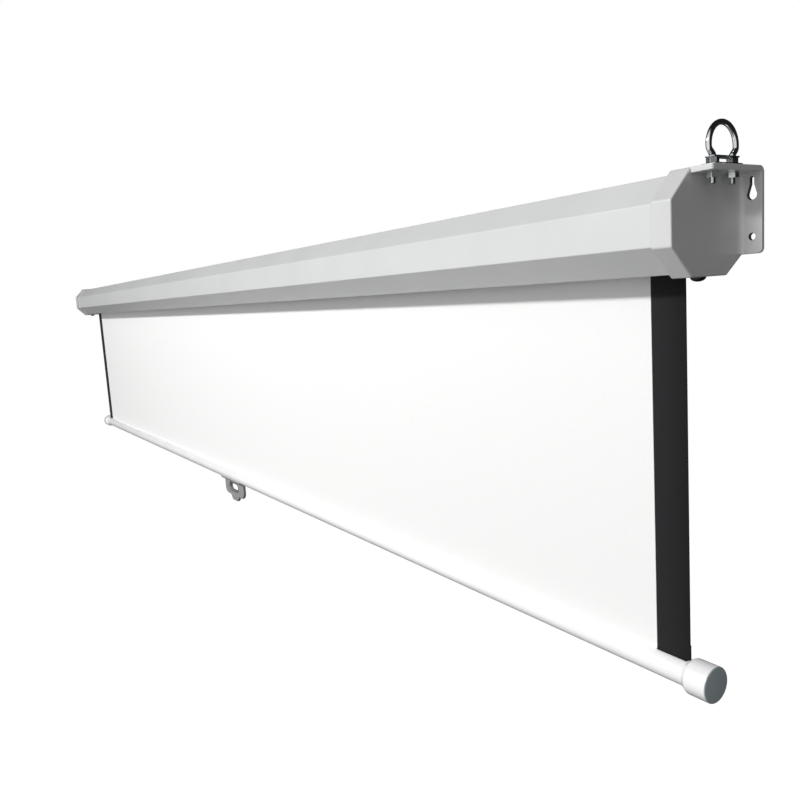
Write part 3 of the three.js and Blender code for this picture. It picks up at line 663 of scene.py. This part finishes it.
def bracketMesh(side):
    corners = [(*corner, bracket["round"]) for corner in bracket["corners"]]
    plateLine = corners[:3] + [(0.0, bracket["corners"][5][1], bracket["bend"])] + corners[5:]
    boss, key, pin, screw = bracket["boss"], bracket["keyhole"], bracket["pinHole"], bracket["screw"]
    plate = slab(plateLine, *bracket["plate"], "x", bracket["plateEdge"])
    column = rod(boss["radius"], boss["from"], bracket["plate"][0] + 1, "x", boss["y"], 0)
    deep = (boss["from"] - 1, boss["from"] + boss["deep"])
    if side > 0:
        socket = prism(boxed(boss["y"], 0, *boss["tongue"], 0.3), *deep, "x")
    else:
        socket = rod(boss["bush"], *deep, "x", boss["y"], 0)
    wall, rise, half = (-bracket["thick"][1], 0, "y", bracket["holeEdge"]), key["rise"], key["neck"] / 2
    neck = boxed(key["x"], key["z"] + rise / 2, key["neck"], rise, half - 0.1)
    # the shoulders leave the round hole along its tangents and meet the neck
    touch = math.atan2(key["shoulder"], half) - math.acos(key["radius"] / math.hypot(half, key["shoulder"]))
    low = key["radius"] * np.array([math.cos(touch), math.sin(touch)])
    taper = [(key["x"] + s * u, key["z"] + v, 0.4) for s, u, v in
             ((-1, *low), (1, *low), (1, half, key["shoulder"]), (-1, half, key["shoulder"]))]
    cuts = [
        socket,
        prism(roundHole(key["x"], key["z"], key["radius"]), *wall),
        prism(neck, *wall),
        prism(taper, *wall),
        prism(roundHole(pin["x"], pin["z"], pin["radius"]), *wall),
        prism(roundHole(screw["x"], screw["y"], screw["radius"]), *screw["through"], "z"),
    ]
    top = bracket["corners"][5][1]
    flange = (top - bracket["thick"][0], top, "z", bracket["holeEdge"])
    cuts += [prism(roundHole(loop["x"], y, bracket["legHole"]), *flange) for y in loop["legs"]]
    adds = [sleeveShell(), flangeShell(), filletShell(), column]
    name = "end_bracket_right" if side > 0 else "end_bracket_left"
    return carved(name, flipped(plate, side), [flipped(s, side) for s in adds], [flipped(s, side) for s in cuts])


def holeWalls(at, normal):
    # The walls of the keyhole and the pin hole, painted dark as the shade inside the holes.
    x, y, z = np.abs(at[:, 0]), at[:, 1], at[:, 2]
    key, pin = bracket["keyhole"], bracket["pinHole"]
    inKey = (np.abs(x - key["x"]) < key["radius"] + 0.4) & (z > key["z"] - 6) & (z < key["z"] + key["rise"] + 0.3)
    inPin = np.hypot(x - pin["x"], z - pin["z"]) < pin["radius"] + 0.4
    return (inKey | inPin) & (np.abs(normal[:, 1]) < 0.9) & (y > -bracket["thick"][1] - 0.1)


for side, end in ends:
    mesh = bracketMesh(side)
    placed(f"end_bracket_{end}", mesh, "bracketPaint", "case", f"bracket_{end}")
    # the hole walls get the dark tone as painted shade
    recoloured(mesh, "holeWallShade", holeWalls)
print("brackets joined")


# Hanging loop of the right end, with its plates and nuts
def loopRod():
    # A round rod along its path: up one leg, out over the shoulder, round the ring and down again.
    # On the legs the radius follows a screw thread: it drops to the root and back once each pitch.
    front, rear = loop["legs"]
    middle, ring = (front + rear) / 2, loop["ring"]
    start = np.radians((180 - loop["sweep"]) / 2)
    leg = np.arange(loop["foot"], loop["threadTo"], loop["pitch"] / 8)
    leg = np.append(leg, [loop["threadTo"] + 0.05, loop["shoulder"]])
    t = np.linspace(0, 1, 10)[1:-1]
    mouth = np.array([ring * np.cos(start), loop["ringAt"] + ring * np.sin(start)])
    foot, pull = np.array([rear - middle, loop["shoulder"]]), loop["pull"]
    leave, arrive = np.array([0.0, pull]), pull * np.array([-np.sin(start), np.cos(start)])
    weights = np.stack([2 * t**3 - 3 * t**2 + 1, t**3 - 2 * t**2 + t, 3 * t**2 - 2 * t**3, t**3 - t**2], 1)
    neck = weights @ np.stack([foot, leave, mouth, arrive])
    angle = np.linspace(start, np.pi / 2, 25)
    bow = np.stack([ring * np.cos(angle), loop["ringAt"] + ring * np.sin(angle)], 1)
    half = np.vstack([np.stack([0 * leg + rear - middle, leg], 1), neck, bow])
    path = np.vstack([half, (half * (-1, 1))[-2::-1]])
    ahead = np.gradient(path, axis=0)
    ahead /= np.linalg.norm(ahead, axis=1, keepdims=True)
    angle = np.linspace(0, 2 * np.pi, 32, endpoint=False)[None]
    across, height = path[:, :1], path[:, 1:]
    turn = height / loop["pitch"] - np.sign(across) * angle / (2 * np.pi)
    cut = loop["thread"] * np.abs(2 * (turn % 1) - 1)
    # from 1 mm under the shoulder the rod thins to the ring's own radius
    thin = np.clip((height - loop["shoulder"] + 1) / loop["thinOver"], 0, 1)
    radius = loop["rod"] - np.where(height < loop["threadTo"], cut, 0) - (loop["rod"] - loop["bow"]) * thin
    radius = np.minimum(radius, loop["rod"] - loop["footTaper"] + (height - loop["foot"]) * 1.2)
    x = loop["x"] + radius * np.sin(angle)
    y = middle + across + radius * np.cos(angle) * -ahead[:, 1:]
    z = height + radius * np.cos(angle) * ahead[:, :1]
    return capped(np.stack([x, y, z], -1))


def hexNut(y, low, high, turn=0.0):
    # Six flats whose corners are cut back by a cone at both faces, round a countersunk hole.
    angle = np.linspace(0, 2 * np.pi, 96, endpoint=False)[None]
    half = loop["acrossFlats"] / 2
    flats = half / np.cos((angle + turn) % (np.pi / 3) - np.pi / 6)
    step = np.linspace(0, loop["nutChamfer"], 5)
    place = np.concatenate([low + step, high - step[::-1]])[:, None]
    cone = half + 0.02 + np.minimum(place - low, high - place) / math.tan(math.radians(30))
    outside = np.minimum(flats, cone)
    narrow, sink = loop["nutBore"], loop["nutSink"]
    bore = np.array([(narrow + sink, high), (narrow, high - sink), (narrow, low + sink), (narrow + sink, low)])
    radius = np.vstack([outside, bore[:, :1] + 0 * angle])
    place = np.vstack([place, bore[:, 1:]])
    ring = np.stack([loop["x"] + radius * np.cos(angle), y + radius * np.sin(angle)], -1)
    return skin(lay(ring, place, "z"), closedRows=True)


def legPlate(width, length, low, high):
    # A plate with round corners and a hole for each leg.
    middle = sum(loop["legs"]) / 2
    holes = [roundHole(loop["x"], y, loop["rod"] + 0.1) for y in loop["legs"]]
    outline = boxed(loop["x"], middle, width, length, loop["plateRound"])
    return slab(outline, low, high, "z", 0.28, holes, 0.12)


placed("loop_rod", meshOf("loop_rod", loopRod()), "chrome", "case", "hanging_loop_right", crease=50)
for name, size in (("base_plate", loop["basePlate"]), ("strap", loop["strap"])):
    mesh = meshOf(f"loop_{name}", legPlate(*size))
    placed(f"loop_{name}", mesh, "dullZinc", "case", f"loop_{name}_right")
for place, y in zip(("front", "rear"), loop["legs"]):
    for level in ("top", "low"):
        name = f"{level}_nut_{place}"
        mesh = meshOf(f"hex_{name}", hexNut(y, *loop[f"{level}Nuts"], loop["nutTurns"][name]))
        finish = "dullZinc" if level == "top" else "zinc"
        placed(f"hex_{name}", mesh, finish, "case", f"{name}_right", crease=22)
print("hanging loop bolted on")

# Domed screws under both brackets
screw = {
    "x": 1071.0,
    "y": -43.0,
    "under": -40.0,
    "head": 5.8,
    "dome": 3.45,
    "shank": 2.0,
    "up": 7.0,
    "cross": (1.1, 5.2),
    "crossDeep": 1.6,
}


def screwMesh(side):
    # A half-ellipse turned about Z over a round shank, with a cross cut into its crown.
    angle = np.linspace(0.06, np.pi / 2, 14)
    dome = np.stack([screw["head"] * np.sin(angle), screw["under"] - screw["dome"] * np.cos(angle)], 1)
    shank = [(screw["shank"], screw["under"]), (screw["shank"], screw["under"] + screw["up"])]
    x, y = screw["x"], screw["y"]
    crown = screw["under"] - screw["dome"]
    slots = (screw["cross"], screw["cross"][::-1])
    cross = [prism(boxed(x, y, a, b, 0.3), crown - 0.5, crown + screw["crossDeep"], "z") for a, b in slots]
    body = turned(np.vstack([dome, shank]), "z", x, y)
    return carved("domed_screw", flipped(body, side), [], [flipped(c, side) for c in cross])


for side, end in ends:
    placed(f"domed_screw_{end}", screwMesh(side), "blackSteel", "case", f"case_screw_{end}")
print("case screws driven")

# Screen fabric: one strip that leaves the roll, hangs through the slot and folds round the hem's rod
fabric = {
    "half": 1050.0,
    "thick": 0.42,
    "y": -28.95,
    "lean": 0.25,
    "axis": -51.0,
    "tube": 17.0,
    "wound": 1198.0,
    "wrap": 50,
    "layer": 0.47,
    "hemRod": 2.6,
    "hemAt": -369.4,
    "hemBack": 14.0,
    "hemAbove": 2.2,
    "hemTurn": (128, 418),
    "hemGap": 0.35,
    "stretchTo": -362.0,
    "columns": 60,
}


def strip(name, path):
    # The path's points (y, z) carried across X, with the white side to the front, and a UV map in metres.
    x = np.linspace(fabric["half"], -fabric["half"], fabric["columns"] + 1)
    points = np.stack([np.broadcast_to(value, (len(path), len(x))) for value in (x, path[:, :1], path[:, 1:])], -1)
    flat, faces = skin(points, closedColumns=False)
    mesh = bpy.data.meshes.new(name)
    mesh.from_pydata((flat * mm).tolist(), [], faces)
    run = np.concatenate([[0], np.cumsum(np.linalg.norm(np.diff(path, axis=0), axis=1))])
    uv = np.stack([flat[:, 0], np.repeat(run, len(x))], 1) * mm
    corner = np.empty(len(mesh.loops), np.int32)
    mesh.loops.foreach_get("vertex_index", corner)
    mesh.uv_layers.new(name="cloth").data.foreach_set("uv", uv[corner].ravel())
    piece = bpy.data.objects.new(name, mesh)
    scene.collection.objects.link(piece)
    mesh.materials.append(finishes["clothFront"])
    mesh.materials.append(finishes["clothBack"])
    mesh.shade_smooth()
    wall = piece.modifiers.new("cloth_thickness", "SOLIDIFY")
    wall.thickness, wall.offset, wall.material_offset = fabric["thick"] * mm, 0, 1
    return piece, run[-1] * mm


def hungPath():
    # Off the top of the roll, down with a slight lean, forward round the rod, and up behind as the welded hem.
    y, lean, radius = fabric["y"], fabric["lean"], fabric["hemRod"] + fabric["thick"] / 2
    wrap, reach = np.radians(np.linspace(fabric["wrap"], 0, 9))[:-1], y + lean - fabric["axis"]
    over = np.stack([fabric["axis"] + reach * np.cos(wrap), reach * np.sin(wrap)], 1)
    foot = fabric["hemAt"] + radius + fabric["hemAbove"]
    z = np.linspace(0, foot, 140)
    down = np.stack([y + lean - 2 * lean * z / foot, z], 1)
    angle = np.radians(np.linspace(*fabric["hemTurn"], 30))
    around = np.stack([y + radius * np.cos(angle), fabric["hemAt"] + radius * np.sin(angle)], 1)
    back = np.stack([np.full(6, y + lean + fabric["hemGap"]), np.linspace(foot, foot + fabric["hemBack"], 6)], 1)
    return np.vstack([over, down, around, back])


def rolledPath():
    # A spiral that starts on the tube and ends a layer under the hanging part, where that leaves the roll.
    first, last = fabric["tube"] + 0.3, fabric["y"] + fabric["lean"] - fabric["axis"] - fabric["layer"]
    turns = fabric["wound"] / (np.pi * (first + last))
    t = np.linspace(0, 1, int(turns * 48))
    radius = first + (last - first) * t
    angle = 2 * np.pi * turns * (1 - t) + math.radians(fabric["wrap"])
    return np.stack([fabric["axis"] + radius * np.cos(angle), radius * np.sin(angle)], 1)


hung, hungLength = strip("hung_fabric", hungPath())
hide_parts("screen_fabric")
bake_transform(hung)
rolled, rolledLength = strip("rolled_fabric", rolledPath())
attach(rolled, "roller")
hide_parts("fabric_roll")
print("fabric hung", round(hungLength, 4), "and wound", round(rolledLength, 4))

# Bottom bar: a tube with a groove along its top, a cap over each end
bar = {"y": -28.95, "z": -376.6, "radius": 11.6, "wall": 1.5, "slot": 3.0, "end": 1071.5}
cap = {
    "radius": 15.8,
    "bore": 11.65,
    "from": 1048.2,
    "to": 1074.8,
    "face": 3.0,
    "round": 1.4,
    "taper": 6.0,
    "lip": 0.9,
    "dome": 0.9,
    "slit": 3.0,
    "slitTo": 1051.5,
}


def barMesh():
    # The section is a ring open at the top; both lips of the groove end in half circles.
    outer, wall = bar["radius"], bar["wall"]
    middle = outer - wall / 2
    apart = math.asin((bar["slot"] / 2 + wall / 2) / middle)
    angle = np.linspace(np.pi / 2 + apart, 2.5 * np.pi - apart, 97)
    ring = np.stack([np.cos(angle), np.sin(angle)], 1)
    lip = np.linspace(0, np.pi, 9)[1:-1, None]

    def lipEnd(out, sign):
        # half a circle from the outer face to the inner one at sign 1, and back at sign -1
        along = out[::-1] * (-sign, sign)
        return middle * out + wall / 2 * (np.cos(lip) * out * sign + np.sin(lip) * along)

    section = np.vstack([outer * ring, lipEnd(ring[-1], 1), (outer - wall) * ring[::-1], lipEnd(ring[0], -1)])
    section += (bar["y"], bar["z"])
    points = np.stack([lay(section, x, "x") for x in (-bar["end"], bar["end"])])
    return meshOf("bottom_tube", capped(points))


def capMesh(side):
    # A cup turned about the bar's axis: the wall swells out from the bar and rounds over into the face.
    radius, bore, start, stop = cap["radius"], cap["bore"], cap["from"], cap["to"]
    swell = np.linspace(0, 1, 9)
    ease = swell * swell * (3 - 2 * swell)
    lip, flat = bore + cap["lip"], radius - cap["round"]
    rise = np.stack([lip + (radius - lip) * ease, start + cap["taper"] * swell], 1)
    turn, edge = np.linspace(0, np.pi / 2, 9), stop - cap["dome"]
    over = np.stack([flat + cap["round"] * np.cos(turn), edge - cap["round"] * (1 - np.sin(turn))], 1)
    bulge = np.linspace(0.95, 0.02, 12)
    face = np.stack([flat * bulge, stop - cap["dome"] * bulge**2], 1)
    inside = [(0.2, stop - cap["face"]), (bore, stop - cap["face"]), (bore, start)]
    cup = turned(np.vstack([inside, rise, over, face]), "x", bar["y"], bar["z"], 96)
    opening = boxed(bar["y"], bar["z"] + radius / 2 + 4, cap["slit"], radius + 8, 0.4)
    slit = prism(opening, start - 2, cap["slitTo"], "x")
    return carved("cap", flipped(cup, side), [], [flipped(slit, side)])


placed("bottom_tube", barMesh(), "barPaint", "bottom_bar", "bar_tube")
for side, end in ends:
    mesh = capMesh(side)
    placed(f"end_cap_{end}", mesh, "whitePlastic", "bottom_bar", f"bar_cap_{end}")
    # painted shade: the end face of each cap, turned away from the lamp, is tinted a darker grey
    rim = cap["to"] - cap["dome"] - cap["round"]
    recoloured(mesh, "capFaceShade", lambda at, normal: (at[:, 0] * side > rim) & (normal[:, 0] * side > 0.45))
print("bottom bar capped")

# Pull handle: a half-round saddle under the bar and a plate with a rimmed finger slot and a tab
handle = {
    "half": 48.0,
    "foot": -419.5,
    "tab": -429.5,
    "tabTop": 22.0,
    "tabHalf": 12.0,
    "thick": 6.0,
    "corner": 13.0,
    "tabCorner": 5.0,
    "tabHollow": 4.0,
    "below": 1.5,
    "edge": 1.3,
    "saddle": (11.7, 14.3),
    "saddleSpan": 108.0,
    "slotAt": -401.5,
    "slot": (44.0, 14.0),
    "rim": 3.0,
    "rimSeat": 0.8,
    "proud": 0.5,
    "rimUnder": 14.0,
    "screwX": 35.5,
    "screwSeat": -393.5,
    "pocket": 2.6,
}


def saddleShell():
    # A rounded strip section carried half way round the underside of the bar.
    inner, outer = handle["saddle"]
    edge = (outer - inner) / 2 - 0.05
    section = arcs(boxed((inner + outer) / 2, 0, outer - inner, 2 * handle["half"], edge))
    angle = np.radians(270 + handle["saddleSpan"] * np.linspace(-0.5, 0.5, 41))[:, None]
    radius, x = section[None, :, 0], np.broadcast_to(section[None, :, 1], (len(angle), len(section)))
    return capped(np.stack([x, bar["y"] + radius * np.cos(angle), bar["z"] + radius * np.sin(angle)], -1))


def handleMesh():
    # The plate's outline is mirrored about the middle. The rim is a slab of its own in a wider hole.
    half, foot, tab = handle["half"], handle["foot"], handle["tab"]
    y, z, thick = bar["y"], bar["z"], handle["thick"] / 2
    rightSide = [(handle["tabHalf"], tab, handle["tabCorner"]), (handle["tabTop"], foot, handle["tabHollow"]),
                 (half, foot, handle["corner"]), (half, z - bar["radius"] - handle["below"], 0.5)]
    leftSide = [(-u, v, radius) for u, v, radius in rightSide[::-1]]

    def slot(more):
        width, height = np.array(handle["slot"]) + 2 * more
        return boxed(0, handle["slotAt"], width, height, height / 2)

    hole, wide, rimLine = slot(0), slot(handle["rimSeat"]), slot(handle["rim"])
    proud = thick + handle["proud"]
    plate = slab(rightSide + leftSide, y - thick, y + thick, "y", handle["edge"], [wide], 0.1)
    rim = slab(rimLine, y - proud, y + proud, "y", 0.6, [hole], 1.0, steps=12)
    seats = [roundHole(side * handle["screwX"], y, handle["pocket"]) for side, _ in ends]
    pockets = [prism(seat, foot - 2, handle["screwSeat"], "z") for seat in seats]
    return carved("handle", plate, [rim, saddleShell()], pockets)


mesh = handleMesh()
placed("handle_moulding", mesh, "greyPlastic", "bottom_bar", "pull_handle")
# the rim is what stands proud of the plate, below the saddle
proud, under = handle["thick"] / 2 + 0.05, bar["z"] - handle["rimUnder"]
recoloured(mesh, "darkRim", lambda at, normal: (np.abs(at[:, 1] - bar["y"]) > proud) & (at[:, 2] < under))
print("handle fitted")

# Torsion spring: one round wire wound about the spindle, from the anchor plug to the collar
spring = {
    "from": 594.7,
    "to": 1010.0,
    "turns": 12,
    "radius": 8.0,
    "wire": 1.5,
    "y": -51.0,
}


def springShell():
    # The wire's round section goes along a helix and stays square to it: one of its axes points away from
    # the spindle, and the other is square to that one and to the helix.
    turn = np.linspace(0, 2 * np.pi * spring["turns"], spring["turns"] * 36 + 1)[:, None]
    section = np.linspace(0, 2 * np.pi, 16, endpoint=False)[None]
    rise = (spring["to"] - spring["from"]) / turn[-1, 0]
    length = math.hypot(spring["radius"], rise)
    out = spring["radius"] + spring["wire"] * np.cos(section)
    across = spring["wire"] * np.sin(section) / length
    x = spring["from"] + rise * turn + across * spring["radius"]
    y = spring["y"] + out * np.cos(turn) + across * rise * np.sin(turn)
    z = out * np.sin(turn) - across * rise * np.cos(turn)
    return capped(np.stack([x, y, z], -1))


mesh = meshOf("wound_spring", springShell())
placed("wound_spring", mesh, "springSteel", "case", "torsion_spring")
print("spring wound")

# The rest of the motor, the plugs and the small screws keep their solids' shapes, as merged copies
plain = ("roller_tube", "spindle", "spring_collar", "spring_anchor", "locking_head", "ratchet",
         "pawl_upper", "pawl_lower", "idle_plug", "idle_pin", "idle_bush", "hem_spline",
         "handle_screw_left", "handle_screw_right")
plainFinishes = {"steel": "steel", "dark_plastic": "darkPlastic", "ivory_plastic": "ivoryPlastic", "zinc": "zinc"}
bodyOf = {node: body for body, nodes in frame["record"]["behaviour"]["bodies"].items() for node in nodes}
for part in frame["record"]["subparts"]:
    node, kind = part["node"], part["material_slot"]
    if node in plain:
        mesh = merged(frame["nodes"][node].data.copy())
        placed(f"{node}_smooth", mesh, plainFinishes[kind], bodyOf[node], node, crease=23)
print("inner parts finished")
